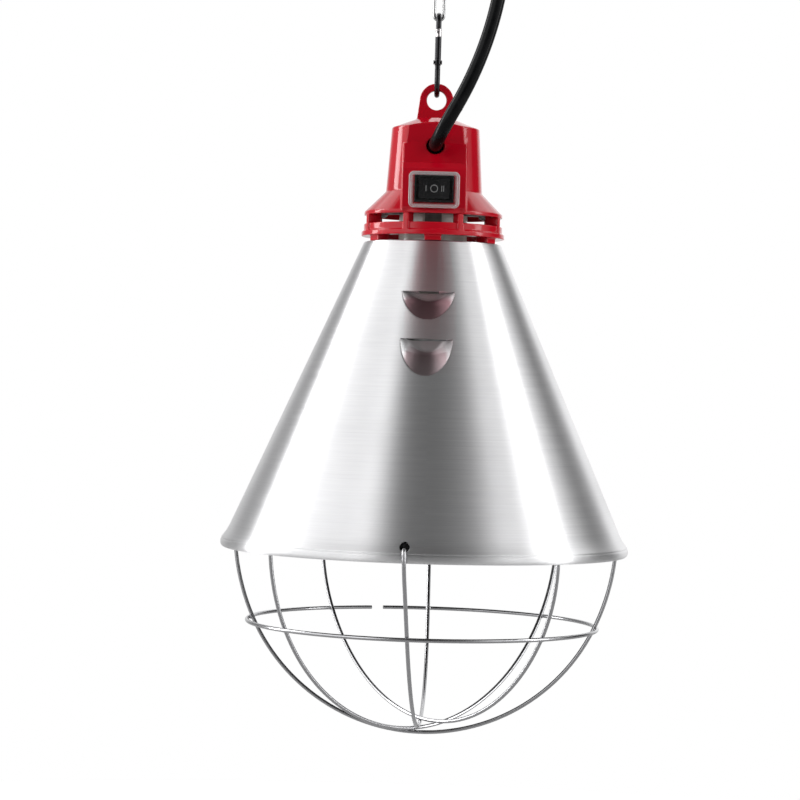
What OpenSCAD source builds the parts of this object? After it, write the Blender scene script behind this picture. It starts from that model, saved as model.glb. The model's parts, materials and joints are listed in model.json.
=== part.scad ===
// Heat lamp fixture: a hanging aluminium shade with a wire guard, a porcelain lampholder,
// a red switch head, a cable and a snap hook on a chain.
// Heights in the modules count from the widest part of the shade's rim. The whole part is then
// lowered so that its origin is where the top chain link hangs. The switch faces -Y.

/* [Shade] */
// Outside diameter of the rolled rim
rim_d = 210; // [206:0.5:214]
// Height from the rim to the flat top of the shade
shade_h = 153.8; // [152:0.2:155]
// Outside radius of the cone, carried down to the rim's height
cone_r = 103.3; // [102.5:0.1:103.6]
// Loss of radius for each millimetre of height
cone_slope = 0.4425; // [0.44:0.0005:0.445]
// Thickness of the aluminium sheet
sheet = 0.8; // [0.6:0.1:1]
// Radius of the opening in the flat top
neck_r = 24; // [23:0.5:25]

/* [Guard] */
// Diameter of the guard wire
guard_wire = 2; // [1.9:0.05:2.1]
// Height of the ring, below the rim
ring_drop = 42.1; // [40:0.1:44]
// Radius of the ring, at the wire's centre
ring_r = 90.25; // [90.2:0.01:90.3]
// Height of the lowest wire's centre, below the rim
guard_drop = 98.4; // [98:0.1:98.8]
// Turn of the front hoop from the front, in degrees
guard_turn = -3.3; // [-8:0.1:8]
// Gap between the ends of the ring
ring_gap = 6.6; // [4:0.2:10]

/* [Head] */
// Height of the head's lower edge
head_z = 167.4; // [167.2:0.1:167.6]
// Height of the shoulder under the roof
shoulder_z = 213; // [212:0.5:214]
// Height of the roof's flat top
roof_z = 218; // [217:0.5:219]
// Wall thickness of the mouldings
wall = 2.2; // [2:0.1:2.4]
// Height of the hanging eye's centre
eye_z = 227.7; // [227.4:0.1:228]
// Radius of the hanging eye's hole
eye_r = 5; // [4.9:0.1:5.2]

/* [Switch] */
// Height of the rocker's centre
rocker_z = 179.5; // [179.3:0.05:179.8]
// Width of the switch bezel
bezel_w = 19.8; // [19.6:0.1:20]
// Height of the switch bezel
bezel_h = 13.7; // [13.4:0.1:14]

/* [Cable] */
// Diameter of the cable
cable_d = 7; // [6.8:0.1:7.2]
// Height of the cable's hole
cable_z = 202.8; // [202.4:0.1:203.2]
// Lean of the cable to the right as it turns up
cable_lean = 29; // [26:1:32]

/* [Lampholder] */
// Inside radius of the screw shell
shell_r = 13.3; // [13.2:0.05:13.4]
// Height of the lampholder's lower edge
holder_z = 118; // [116:0.5:119]
// Radius of the lampholder's upper part
holder_r = 17.6; // [17.4:0.1:17.8]

/* [Chain and hook] */
// Diameter of the hook's wire
hook_wire = 2.8; // [2.6:0.1:2.8]
// Diameter of the chain's wire
chain_wire = 1.6; // [1.5:0.05:1.6]
// Outside length of a chain link
link_len = 25; // [24:0.5:28]

/* [Hidden] */
$fn = 96;

// Heights of the hanging chain, worked up from the eye
hook_bend = 7.5;
hook_low = eye_z + 2.9;
hook_high = hook_low + 41;
link_bend = 2.45;
link_straight = link_len - 2 * link_bend - chain_wire;
lower_link_z = hook_high - link_bend;
top_link_z = lower_link_z + link_straight + 2 * link_bend - chain_wire - 0.35;
hang_z = top_link_z + link_straight + 2 * link_bend - chain_wire / 2;
gate_z = 246.5;
nose_z = 263.9;
gate_y = -hook_bend;
gate_r = 1.6;
rivet_r = 0.6;

// Rim and cone
bead_r = 2.1;
bead_rise = 0.8;
bead_z = -2.4;
flare_z = 7.5;
flare_end_r = 104.2;
hook_hole_z = 3.5;
hook_hole_r = 2.5;
screw_turns = [60, 180, 300];
screw_ring_r = 31.2;

// Guard
leg_r = ring_r - guard_wire + 0.15;
weld_step = guard_wire - 0.04;
tip_z = 1.4;
front_level = 2;
front_lean = 2;
hooked_z = hook_hole_z - 1.4;

// Ring and head
skirt_r = 35.6;
neck_top_r = 24.8;
shoulder_r = 22.6;
cone_top_z = 180;
flat_y = -18;
flat_z = 203.5;
ledge_z = 193;
block_w = 32.4;
face_y = -34;
post_w = 2.9;
post_r = 36.5;
collar_r = 35.7;
collar_in = 30;
flange_r = 36.8;

// Switch
panel_w = 18.6;
panel_h = 12.6;
rocker_w = 15.2;
rocker_h = 10.2;
pivot_y = -30.5;
tab_pitch = 6.2;
tab_end = -12.5;

// Bracket, terminals and screws
plate_z = 168.6;
plate_t = 1.2;
boss_x = 26.5;
holder_screw_x = 9.5;
earth_y = 10.5;
block_x = 8.2;
block_y = 9.2;
block_side = 5.6;
wire_z = 173.6;
grip_x = 8.5;
grip_y = -8.5;
shell_len = 19;
shell_tab = 0.6;
shell_top = holder_z + 2 + shell_len;
contact_z = 143.9;
contact_turn = atan2(block_y, block_x);
contact_reach = norm([block_x, block_y]);

// Cable
sheath_start = -3;
sheath_bore = 2.75;
core_r = 1.15;
core_pitch = 1.4;
cable_route = [[17], [20, 90, -cable_lean], [182, 26, 90 - cable_lean], [8]];

// Frames that send the local Z forwards or backwards, with the local X up
module facing_front() { rotate([0, 0, 180]) facing_back() children(); }
module facing_back() { rotate([-90, 0, 0]) rotate([0, 0, -90]) children(); }

// A round section, hollow if a bore is given
module section(r, bore) {
    difference() {
        circle(r);
        if (bore > 0) circle(bore);
    }
}

// A wire that starts along +Z and follows its steps. A step is [length] for a straight, or
// [radius, angle, roll] for a bend, where roll is the way it bends, counted from the local X.
// off moves the wire off its centre line, so that several wires can run side by side.
// Where two steps meet, both stop just short and a collar a hair wider than the wire joins them.
module wire(steps, r, bore = 0, off = [0, 0], i = 0) {
    s = steps[i];
    short = 0.05 * r;
    before = i > 0 ? short : 0;
    after = i < len(steps) - 1 ? short : 0;
    if (i > 0) translate([off[0], off[1], -3 * short]) linear_extrude(6 * short) section(1.02 * r, 0.98 * bore);
    if (len(s) == 1) {
        translate([off[0], off[1], before]) linear_extrude(s[0] - before - after) section(r, bore);
        if (i < len(steps) - 1) translate([0, 0, s[0]]) wire(steps, r, bore, off, i + 1);
    } else {
        side = off[0] * cos(s[2]) + off[1] * sin(s[2]);
        lift = off[1] * cos(s[2]) - off[0] * sin(s[2]);
        degree = 180 / PI / (s[0] - side);
        rotate([0, 0, s[2]]) {
            translate([s[0], 0, 0]) rotate([90, 0, 0]) rotate([0, 0, 180 - s[1] + after * degree])
                rotate_extrude(angle = s[1] - (before + after) * degree)
                    translate([s[0] - side, -lift]) section(r, bore);
            if (i < len(steps) - 1) translate([s[0] * (1 - cos(s[1])), 0, s[0] * sin(s[1])])
                rotate([0, s[1], 0]) rotate([0, 0, -s[2]]) wire(steps, r, bore, off, i + 1);
        }
    }
}

// Two equal bends that shift a wire sideways by a distance and keep its heading
function shift_angle(bend, shift) = acos(1 - shift / (2 * bend));
function shift_steps(bend, shift, roll) = [
    [bend, shift_angle(bend, shift), roll],
    [bend, shift_angle(bend, shift), roll + 180]
];
function shift_run(bend, shift) = 2 * bend * sin(shift_angle(bend, shift));

// A place on the fixture at a turn from the front, with the local X pointing outwards
module at_turn(turn) { rotate([0, 0, turn - 90]) children(); }

// Lowers everything so that the origin is the hanging point
module hung() { translate([0, 0, -hang_z]) children(); }

// Pan-head screw with its head at the origin and its shank along -Z
module pan_screw(head_r, head_h, shank_r, shank_len) {
    difference() {
        rotate_extrude() polygon([
            [0, head_h], [head_r * 0.7, head_h], [head_r, head_h * 0.5], [head_r, 0], [shank_r, 0],
            [shank_r, -shank_len + shank_r], [shank_r * 0.4, -shank_len], [0, -shank_len]
        ]);
        for (a = [0, 90]) rotate([0, 0, a])
            translate([-head_r * 0.6, -head_r * 0.12, head_h * 0.45]) cube([head_r * 1.2, head_r * 0.24, head_h]);
    }
}

// ---- Chain and hook ----

module link(low_z, turn) {
    translate([0, 0, low_z + link_bend]) rotate([0, 0, turn]) {
        for (side = [-1, 1]) translate([side * link_bend, 0, 0]) cylinder(r = chain_wire / 2, h = link_straight);
        for (end = [0, 1]) translate([0, 0, end * link_straight]) rotate([90, 0, 0]) rotate([0, 0, 180 + end * 180])
            rotate_extrude(angle = 180) translate([link_bend, 0]) circle(chain_wire / 2);
    }
}

module chain_link_top() { color("silver") hung() link(top_link_z, 90); }

module chain_link_lower() { color("silver") hung() link(lower_link_z, 0); }

module hook_frame() {
    straight = hook_high - hook_low - 2 * hook_bend;
    nose = hook_high - hook_bend - nose_z;
    tang_z = 243;
    color("gainsboro") hung() {
        translate([0, gate_y, nose_z]) rotate([0, 0, 90]) wire([
            [nose], [hook_bend, 180, 0], [straight], [hook_bend, 180, 0], [tang_z - hook_low - hook_bend]
        ], hook_wire / 2);
        difference() {
            union() {
                translate([-0.55, gate_y - hook_wire / 2, tang_z - 0.5]) cube([1.1, hook_wire, gate_z - tang_z + 0.5]);
                translate([-0.55, gate_y, gate_z]) rotate([0, 90, 0]) cylinder(r = hook_wire / 2, h = 1.1);
            }
            translate([-2, gate_y, gate_z]) rotate([0, 90, 0]) cylinder(r = rivet_r, h = 4);
        }
    }
}

module hook_gate() {
    color("gainsboro") hung() translate([0, gate_y, 0]) difference() {
        union() {
            translate([0, 0, gate_z]) cylinder(r = gate_r, h = nose_z - gate_z - 0.4);
            intersection() {
                translate([0, 0, gate_z - gate_r]) cylinder(r = gate_r, h = 2 * gate_r);
                translate([-2, 0, gate_z]) rotate([0, 90, 0]) cylinder(r = gate_r, h = 4);
            }
        }
        translate([-0.7, -3, gate_z - 3]) cube([1.4, 6, 5.2]);
        translate([-2, 0, gate_z]) rotate([0, 90, 0]) cylinder(r = rivet_r + 0.05, h = 4);
        translate([0, 0, gate_z + 2]) cylinder(r = 1, h = 11);
    }
}

module gate_pin() {
    color("darkgray") hung() translate([0, gate_y, gate_z]) rotate([0, 90, 0]) {
        translate([0, 0, -gate_r - 0.6]) cylinder(r = rivet_r, h = 2 * gate_r + 1.2);
        for (side = [-1, 1]) translate([0, 0, side * (gate_r + 0.35) - 0.25]) cylinder(r = 1.1, h = 0.5);
    }
}

module gate_spring() {
    coils = 6;
    color("darkgray") hung() translate([0, gate_y, gate_z + 3]) {
        for (i = [0:coils - 1]) translate([0, 0, i * 1.5]) rotate_extrude() translate([0.65, 0]) circle(0.2, $fn = 24);
        translate([0.65, 0, 0]) cylinder(r = 0.2, h = (coils - 1) * 1.5, $fn = 24);
    }
}

// ---- Red mouldings ----

module head_solid() {
    difference() {
        rotate_extrude() polygon([
            [0, head_z], [skirt_r, head_z], [skirt_r, head_z + 1.8], [neck_top_r, cone_top_z],
            [shoulder_r, shoulder_z], [9.6, roof_z], [0, roof_z]
        ]);
        translate([-40, flat_y - 40, ledge_z]) cube([80, 40, 40]);
    }
    translate([-block_w / 2, 0, 0]) rotate([90, 0, 90]) linear_extrude(block_w) polygon([
        [-10, flat_z], [flat_y - 0.2, flat_z], [-22, ledge_z], [-31, ledge_z], [face_y, ledge_z - 3],
        [face_y, 170], [face_y + 1.4, plate_z], [-10, plate_z]
    ]);
}

module head_hollow() {
    difference() {
        rotate_extrude() polygon([
            [0, head_z - 1], [skirt_r - 2.4, head_z - 1], [skirt_r - 2.4, head_z + 1.2], [neck_top_r - 2.4, cone_top_z + 1.2],
            [shoulder_r - 2.3, shoulder_z - 1.5], [9, roof_z - wall], [0, roof_z - wall]
        ]);
        translate([-40, flat_y + wall - 40, ledge_z - wall]) cube([80, 40, 40]);
    }
    translate([-block_w / 2 + wall, 0, 0]) rotate([90, 0, 90]) linear_extrude(block_w - 2 * wall) polygon([
        [-8, flat_z - wall], [flat_y + 1.8, flat_z - wall], [-19.9, ledge_z - wall], [-30.1, ledge_z - wall],
        [face_y + wall, ledge_z - 4],
        [face_y + wall, 171], [-8, 171]
    ]);
}

module head_bosses() {
    for (side = [-1, 1]) {
        translate([side * boss_x, 0, plate_z + plate_t]) cylinder(r = 3.5, h = 12);
        translate([side * grip_x, grip_y, cable_z - cable_d / 2]) cylinder(r = 3, h = 17);
    }
}

module head_cover() {
    color("crimson") hung() difference() {
        union() {
            difference() {
                head_solid();
                head_hollow();
            }
            intersection() {
                head_bosses();
                head_solid();
            }
            translate([0, 2, 0]) rotate([90, 0, 0]) linear_extrude(4) {
                translate([0, eye_z]) circle(8.7);
                polygon([[-10.2, roof_z - 2], [10.2, roof_z - 2], [8.7, eye_z], [-8.7, eye_z]]);
            }
        }
        translate([-block_w / 2, face_y - 4, head_z + 1.8]) cube([block_w, 4, 20]);
        translate([0, 5, eye_z]) rotate([90, 0, 0]) cylinder(r = eye_r, h = 10);
        translate([0, -12, cable_z]) rotate([90, 0, 0]) cylinder(r = 4.5, h = 14);
        translate([-panel_w / 2 - 0.1, face_y - 2, rocker_z - panel_h / 2 - 0.1]) cube([panel_w + 0.2, 6, panel_h + 0.2]);
        for (side = [-1, 1]) {
            translate([side * boss_x, 0, plate_z + plate_t - 1]) cylinder(r = 1.25, h = 5);
            translate([side * grip_x, grip_y, cable_z - cable_d / 2 - 1]) cylinder(r = 1.25, h = 9);
        }
    }
}

module vent_ring() {
    flange_z = shade_h + 2.9;
    collar_z = flange_z + 2.7;
    color("red") hung() difference() {
        union() {
            rotate_extrude() polygon([
                [collar_in, flange_z], [flange_r, flange_z], [flange_r, flange_z + 2.4], [collar_r, collar_z],
                [collar_r, collar_z + 3.6], [collar_in, collar_z + 3.6]
            ]);
            for (i = [0:7]) at_turn(i * 45 + 22.5) {
                translate([31, -post_w / 2, collar_z]) cube([post_r - 31, post_w, head_z - collar_z]);
                translate([29.2, -post_w / 2, collar_z + 3]) cube([2, post_w, head_z + 3 - collar_z - 3]);
                translate([29.2, -post_w / 2, head_z - 1.4]) cube([3, post_w, 1.4]);
            }
            for (i = [0:5]) at_turn(i * 60) translate([28, -4.25, shade_h]) cube([6.5, 8.5, 3]);
        }
        for (turn = screw_turns) at_turn(turn) translate([screw_ring_r, 0, shade_h - 1]) cylinder(r = 1.2, h = 8.5);
    }
}

// ---- Switch ----

module switch_body() {
    color("#1a1a1c") hung() translate([0, 0, rocker_z]) difference() {
        union() {
            translate([-panel_w / 2, -35, -panel_h / 2]) cube([panel_w, 15, panel_h]);
            translate([-bezel_w / 2, -36.1, -bezel_h / 2]) cube([bezel_w, 1.1, bezel_h]);
        }
        translate([-8.9, -40, -5.3]) cube([17.8, 14, 10.6]);
        translate([0, pivot_y, -panel_h]) cylinder(r = 1.25, h = 2 * panel_h);
        for (i = [-1:1]) translate([i * tab_pitch - 0.4, -24, -2.4]) cube([0.8, 5, 4.8]);
    }
}

module switch_rocker() {
    half = rocker_w / 2;
    color("#202022") hung() translate([0, 0, rocker_z]) {
        translate([0, 0, -rocker_h / 2]) linear_extrude(rocker_h) polygon([
            [-half, -37.6], [-half / 2, -36.6], [0, -36.3], [half / 2, -36.6], [half, -37.6],
            [half, -34], [3, -28.6], [-3, -28.6], [-half, -34]
        ]);
        translate([0, pivot_y, -6.2]) cylinder(r = 1.2, h = 12.4);
    }
}

module switch_boot() {
    boot_w = 25.5;
    boot_h = 18.1;
    boot_drop = 0.8;
    color("lightblue", 0.4) hung() translate([0, 0, rocker_z - boot_drop]) difference() {
        translate([-boot_w / 2, -41, -boot_h / 2]) cube([boot_w, 7, boot_h]);
        translate([-boot_w / 2 + 0.9, -40.1, -boot_h / 2 + 0.9]) cube([boot_w - 1.8, 5.1, boot_h - 1.8]);
        translate([-panel_w / 2 - 0.1, -36, boot_drop - panel_h / 2 - 0.1]) cube([panel_w + 0.2, 3, panel_h + 0.2]);
    }
}

module switch_terminals() {
    color("goldenrod") hung()
        for (i = [-1:1]) translate([i * tab_pitch - 0.4, -24, rocker_z - 2.4]) cube([0.8, 24 + tab_end, 4.8]);
}

module rectifier_diode() {
    lead_y = tab_end - 1.4;
    lead_z = 173.4;
    rise = rocker_z - 2.4 - lead_z - 1;
    color("#303030") hung() translate([0, lead_y, lead_z]) {
        translate([-4.7, 0, 0]) rotate([0, 90, 0]) cylinder(r = 2.65, h = 9.4);
        for (side = [0, 1]) mirror([side, 0, 0]) rotate([0, 90, 0]) rotate([0, 0, 180])
            wire([[tab_pitch - 1], [1, 90, 0], [rise]], 0.5);
    }
}

// ---- Cable, cores and leads ----

module cable_sheath() {
    color("#161616") hung() translate([0, sheath_start, cable_z]) facing_front()
        wire(cable_route, cable_d / 2, sheath_bore);
}

// One insulated core: turn is its place inside the sheath, inner its way from the sheath's inner end
module core(turn, inner) {
    out = [core_pitch * cos(turn), core_pitch * sin(turn)];
    hung() translate([0, sheath_start, cable_z]) {
        facing_front() wire(concat(cable_route, [[7]]), core_r, 0, out);
        facing_back() wire(inner, core_r, 0, [out[0], -out[1]]);
    }
}

module core_brown() {
    bend = 5;
    drop = cable_z - rocker_z - 2 * bend + core_pitch;
    color("saddlebrown") core(180, [[1], [bend, 90, 180], [drop], [bend, 90, 180], [sheath_start + 1 - tab_end]]);
}

module core_blue() {
    bend = 4;
    shift = block_x - core_pitch * sin(60);
    drop = cable_z - 2 * bend - shift_run(6, shift) - wire_z - core_pitch * cos(60);
    color("royalblue") core(60, concat(
        [[16], [bend, 90, 180], [drop / 2]], shift_steps(6, shift, -90), [[drop / 2], [bend, 90, 180], [4]]
    ));
}

module core_earth() {
    color("yellowgreen") core(300, [[16], [4, 90, 180], [27]]);
}

module switched_lead() {
    away = [wire_z - rocker_z - 0.6, block_x - tab_pitch];
    bend = 5;
    travel = block_y - block_side / 2 + 2 - tab_end;
    spare = travel - shift_run(bend, norm(away));
    color("black") hung() translate([tab_pitch, tab_end, rocker_z + 0.6]) facing_back()
        wire(concat([[spare * 0.45]], shift_steps(bend, norm(away), atan2(away[1], away[0])), [[spare * 0.55]]), core_r);
}

module cord_grip() {
    color("#2a2a2a") hung() translate([0, grip_y, cable_z - cable_d / 2 - 2]) difference() {
        translate([-12, -3, 0]) cube([24, 6, 2]);
        for (side = [-1, 1]) translate([side * grip_x, 0, -1]) cylinder(r = 1.7, h = 4);
    }
}

module cord_grip_screws() {
    color("silver") hung() for (side = [-1, 1])
        translate([side * grip_x, grip_y, cable_z - cable_d / 2 - 2]) rotate([180, 0, 0]) pan_screw(2.8, 1.8, 1.25, 9);
}

// ---- Lampholder ----

module holder_bracket() {
    leg = 12;
    color("dimgray") hung() translate([0, 0, plate_z]) difference() {
        union() {
            translate([-31, -5, 0]) cube([62, 10, plate_t]);
            translate([-4.25, -holder_r - 0.1 - plate_t, 0]) cube([8.5, 2 * (holder_r + 0.1 + plate_t), plate_t]);
            for (side = [0, 1]) mirror([0, side, 0])
                translate([-4.25, holder_r + 0.1, -leg]) cube([8.5, plate_t, leg + plate_t]);
        }
        for (side = [-1, 1]) {
            translate([side * boss_x, 0, -1]) cylinder(r = 1.7, h = 4);
            translate([side * holder_screw_x, 0, -1]) cylinder(r = 1.9, h = 4);
        }
        translate([0, earth_y, -1]) cylinder(r = 2, h = 4);
    }
}

module bracket_screws() {
    color("silver") hung() for (side = [-1, 1])
        translate([side * boss_x, 0, plate_z]) rotate([180, 0, 0]) pan_screw(3, 1.8, 1.25, 5);
}

module holder_screws() {
    color("silver") hung() for (side = [-1, 1])
        translate([side * holder_screw_x, 0, plate_z + plate_t]) pan_screw(3.2, 2.2, 1.7, 12);
}

module lampholder_body() {
    bore_top = holder_z + 27;
    color("antiquewhite") hung() difference() {
        rotate_extrude() polygon([
            [0, holder_z], [19.8, holder_z], [21, holder_z + 1.2], [21, holder_z + 29], [holder_r, holder_z + 32],
            [holder_r, plate_z], [0, plate_z]
        ]);
        translate([0, 0, holder_z - 1]) cylinder(r = 14.15, h = 28);
        for (side = [-1, 1]) {
            translate([side * holder_screw_x, 0, plate_z - 12]) cylinder(r = 1.75, h = 13);
            translate([side * block_x - 3, block_y - 3, 160.5]) cube([6, 6, 10]);
            translate([side * block_x - 1.7, block_y - 0.7, bore_top - 1]) cube([3.4, 1.4, 18]);
        }
        translate([0, earth_y, plate_z - 5.4]) cylinder(r = 2.6, h = 7);
    }
}

module screw_shell() {
    color("goldenrod") hung() {
        difference() {
            translate([0, 0, holder_z + 2]) cylinder(r = 14, h = shell_len);
            translate([0, 0, holder_z + 1]) cylinder(r = shell_r, h = shell_len + 2);
        }
        rotate([0, 0, 180 - contact_turn]) {
            translate([10.6, -2.5, shell_top]) cube([3.2, 5, shell_tab]);
            translate([13.4, -2.5, shell_top - 1]) cube([0.4, 5, 1 + shell_tab]);
        }
    }
}

// A bent strip: its foot is under the live terminal and its tip dips on the lampholder's axis
module centre_contact() {
    arm = 12;
    dip = 17;
    strip = 0.5;
    tip = [-0.5 - arm * cos(dip), -0.3 - arm * sin(dip)];
    color("orange") hung() rotate([0, 0, contact_turn]) translate([contact_reach, 0, contact_z])
        rotate([90, 0, 0]) translate([0, 0, -2]) linear_extrude(4) polygon([
            [1.4, 0.2], [1.4, -0.3], [-0.5, -0.3], tip, tip + strip * [-sin(dip), cos(dip)], [-0.57, 0.2]
        ]);
}

module terminal(side, foot_z) {
    difference() {
        union() {
            translate([side * block_x - block_side / 2, block_y - block_side / 2, 160.6])
                cube([block_side, block_side, wire_z - 160.6 + 2.9]);
            translate([side * block_x - 1.5, block_y - 0.5, foot_z]) cube([3, 1, 162 - foot_z]);
        }
        translate([side * block_x, 0, wire_z]) rotate([-90, 0, 0]) cylinder(r = 1.25, h = 20);
        translate([side * block_x, block_y, wire_z]) cylinder(r = 1.4, h = 5);
    }
}

module live_terminal() { color("gold") hung() terminal(1, contact_z + 0.7); }

module neutral_terminal() { color("gold") hung() terminal(-1, shell_top + shell_tab); }

module terminal_screws() {
    color("silver") hung() for (side = [-1, 1])
        translate([side * block_x, block_y, wire_z + 2.9]) pan_screw(2.3, 1.6, 1.4, 1.6);
}

module earth_tag() {
    barrel = [core_pitch * sin(60), sheath_start + 20 + core_pitch * cos(60)];
    color("gold") hung() translate([0, 0, plate_z + plate_t]) difference() {
        union() {
            translate([0, earth_y, 0]) cylinder(r = 3.6, h = 0.8);
            translate([-0.9, earth_y, 0]) cube([4, barrel[1] - earth_y + 1.5, 0.8]);
            translate([barrel[0], barrel[1], 0]) cylinder(r = 1.9, h = 5);
        }
        translate([0, earth_y, -1]) cylinder(r = 2.05, h = 3);
        translate([barrel[0], barrel[1], 0.6]) cylinder(r = 1.2, h = 5);
    }
}

module earth_screw() {
    color("silver") hung() translate([0, earth_y, plate_z + plate_t + 0.8]) pan_screw(3, 2, 2, 6);
}

// ---- Shade ----

function cone_at(z) = cone_r - cone_slope * z;

// One side of the shade's solid of revolution: inset is 0 outside and the sheet's thickness inside
module shade_form(inset, low, high) {
    rotate_extrude() polygon([
        [0, low], [flare_end_r - inset, low], [flare_end_r - inset, 0], [cone_at(flare_z) - inset * 1.05, flare_z],
        [cone_at(high) - inset * 1.05, high], [0, high]
    ]);
}

// A scoop pressed inwards below its mouth: a piece of a ball, cut flat at the top and at the sides
module scoop(mouth_z, drop, half_w, deep, grow) {
    ball = (drop * drop + deep * deep) / (2 * deep);
    intersection() {
        translate([cone_at(mouth_z), 0, mouth_z]) rotate([0, -atan(cone_slope), 0])
            translate([ball - deep, 0, 0]) sphere(ball + grow, $fn = 128);
        translate([cone_at(mouth_z) - 12, -half_w - grow, mouth_z - 30]) cube([30, 2 * (half_w + grow), 30]);
    }
}

module scoops(grow) {
    for (turn = [0, 180]) at_turn(turn) {
        scoop(127.2, 13.2, 13, 3.4, grow);
        scoop(103.4, 17.2, 12.7, 4, grow);
    }
}

module shade() {
    bead_x = rim_d / 2 - bead_r;
    color("lightgray") hung() difference() {
        union() {
            difference() {
                difference() {
                    shade_form(0, -0.4, shade_h);
                    scoops(0);
                }
                difference() {
                    shade_form(sheet, -1, shade_h - sheet);
                    scoops(sheet);
                }
            }
            difference() {
                rotate_extrude() {
                    translate([bead_x, bead_z + bead_rise]) circle(bead_r, $fn = 48);
                    translate([bead_x, bead_z]) circle(bead_r, $fn = 48);
                }
                rotate_extrude() {
                    translate([bead_x, bead_z + bead_rise]) circle(bead_r - sheet, $fn = 48);
                    translate([bead_x, bead_z]) circle(bead_r - sheet, $fn = 48);
                }
                rotate_extrude() translate([bead_x - bead_r - 1, bead_z + 0.8]) square([2, 0.6]);
            }
        }
        translate([0, 0, shade_h - 3]) cylinder(r = neck_r, h = 6);
        translate([0, 0, hang_z]) hoop_place(0, front_level, 0, front_lean) for (side = [0, 1]) mirror([side, 0, 0])
            translate([96, 0, hook_hole_z]) rotate([0, 90, 0]) cylinder(r = hook_hole_r, h = 14);
        for (turn = screw_turns) at_turn(turn) translate([screw_ring_r, 0, shade_h - 3]) cylinder(r = 1.8, h = 6);
    }
}

module shade_screws() {
    color("silver") hung() for (turn = screw_turns) at_turn(turn)
        translate([screw_ring_r, 0, shade_h - sheet - 0.6]) rotate([180, 0, 0]) pan_screw(2.8, 1.8, 1.2, 8);
}

module shade_washers() {
    color("gainsboro") hung() for (turn = screw_turns) at_turn(turn)
        translate([screw_ring_r, 0, shade_h - sheet - 0.6]) difference() {
            cylinder(r = 3.4, h = 0.6);
            translate([0, 0, -1]) cylinder(r = 1.8, h = 3);
        }
}

// ---- Guard ----

// The bottom arc of a hoop passes through its lowest point and the two ring joints
function arc_height(low) = (low * low - leg_r * leg_r - ring_drop * ring_drop) / (2 * (low + ring_drop));
function arc_radius(low) = arc_height(low) - low;
function leg_angle(low) = acos(leg_r / arc_radius(low));

function hoop_low(level) = -guard_drop + level * weld_step;

// Puts a hoop at its turn: shift moves it sideways and lean tips it about its lowest point
module hoop_place(turn, level, shift, lean) {
    hung() at_turn(turn + guard_turn) translate([0, shift, hoop_low(level)]) rotate([lean, 0, 0])
        translate([0, 0, -hoop_low(level)]) children();
}

// A hoop whose two tips end just inside the rim, after one long bend each above the ring
module rim_hoop(turn, level, tip_r, shift) {
    low = hoop_low(level);
    climb = tip_z + ring_drop;
    lean = leg_angle(low);
    tip_lean = 2 * atan((tip_r - leg_r) / climb) - lean;
    upper = climb / (sin(lean) - sin(tip_lean));
    leg = [upper, lean - tip_lean, 0];
    hoop_place(turn, level, shift, 0) translate([-tip_r, 0, tip_z]) rotate([180, 0, 0]) rotate([0, tip_lean, 0])
        wire([leg, [arc_radius(low), 180 - 2 * lean, 0], leg], guard_wire / 2);
}

// The hoop that stands outside the rim and hooks into the two holes
module hooked_hoop() {
    low = hoop_low(front_level);
    lean = leg_angle(low);
    elbow = 2.5;
    outer = 22.9;
    stand_r = rim_d / 2 + 1.8;
    climb = (stand_r - leg_r - outer * (1 - cos(lean))) / sin(lean);
    upright = hooked_z - elbow + ring_drop - climb * cos(lean) - outer * sin(lean);
    tip = 7.3;
    half = [[tip], [elbow, 90, 0], [upright], [outer, lean, 0], [climb]];
    hoop_place(0, front_level, 0, front_lean) translate([-stand_r + elbow + tip, 0, hooked_z]) rotate([180, 90, 0])
        wire(concat(half, [[arc_radius(low), 180 - 2 * lean, 0]], [for (i = [4:-1:0]) half[i]]), guard_wire / 2);
}

module guard_hoop_side() { color("silver") rim_hoop(87.8, 0, 98.9, 0); }

module guard_hoop_left() { color("silver") rim_hoop(315.3, 1, 99.3, -2.5); }

module guard_hoop_front() { color("silver") hooked_hoop(); }

module guard_hoop_right() { color("silver") rim_hoop(40.9, 3, 99.3, 6.2); }

module guard_ring() {
    gap_turn = 195.9;
    open_angle = ring_gap / ring_r * 180 / PI;
    color("silver") hung() translate([0, 0, -ring_drop]) at_turn(gap_turn + open_angle / 2)
        rotate_extrude(angle = 360 - open_angle) translate([ring_r, 0]) circle(guard_wire / 2);
}

chain_link_top();
chain_link_lower();
hook_frame();
hook_gate();
gate_pin();
gate_spring();
head_cover();
vent_ring();
switch_body();
switch_rocker();
switch_boot();
switch_terminals();
rectifier_diode();
cable_sheath();
core_brown();
core_blue();
core_earth();
switched_lead();
cord_grip();
cord_grip_screws();
holder_bracket();
bracket_screws();
holder_screws();
lampholder_body();
screw_shell();
centre_contact();
live_terminal();
neutral_terminal();
terminal_screws();
earth_tag();
earth_screw();
shade();
shade_screws();
shade_washers();
guard_hoop_side();
guard_hoop_left();
guard_hoop_front();
guard_hoop_right();
guard_ring();
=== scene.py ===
"""Looks for the heat lamp fixture: materials, softly rounded mouldings, the pressed shade, lights and camera.

Sizes in the mesh code are millimetres above the rim plane, the widest part of the shade.
point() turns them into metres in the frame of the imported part.
"""

import json
import math

import bmesh
import bpy
import numpy as np
from mathutils import Matrix, Vector


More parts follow.
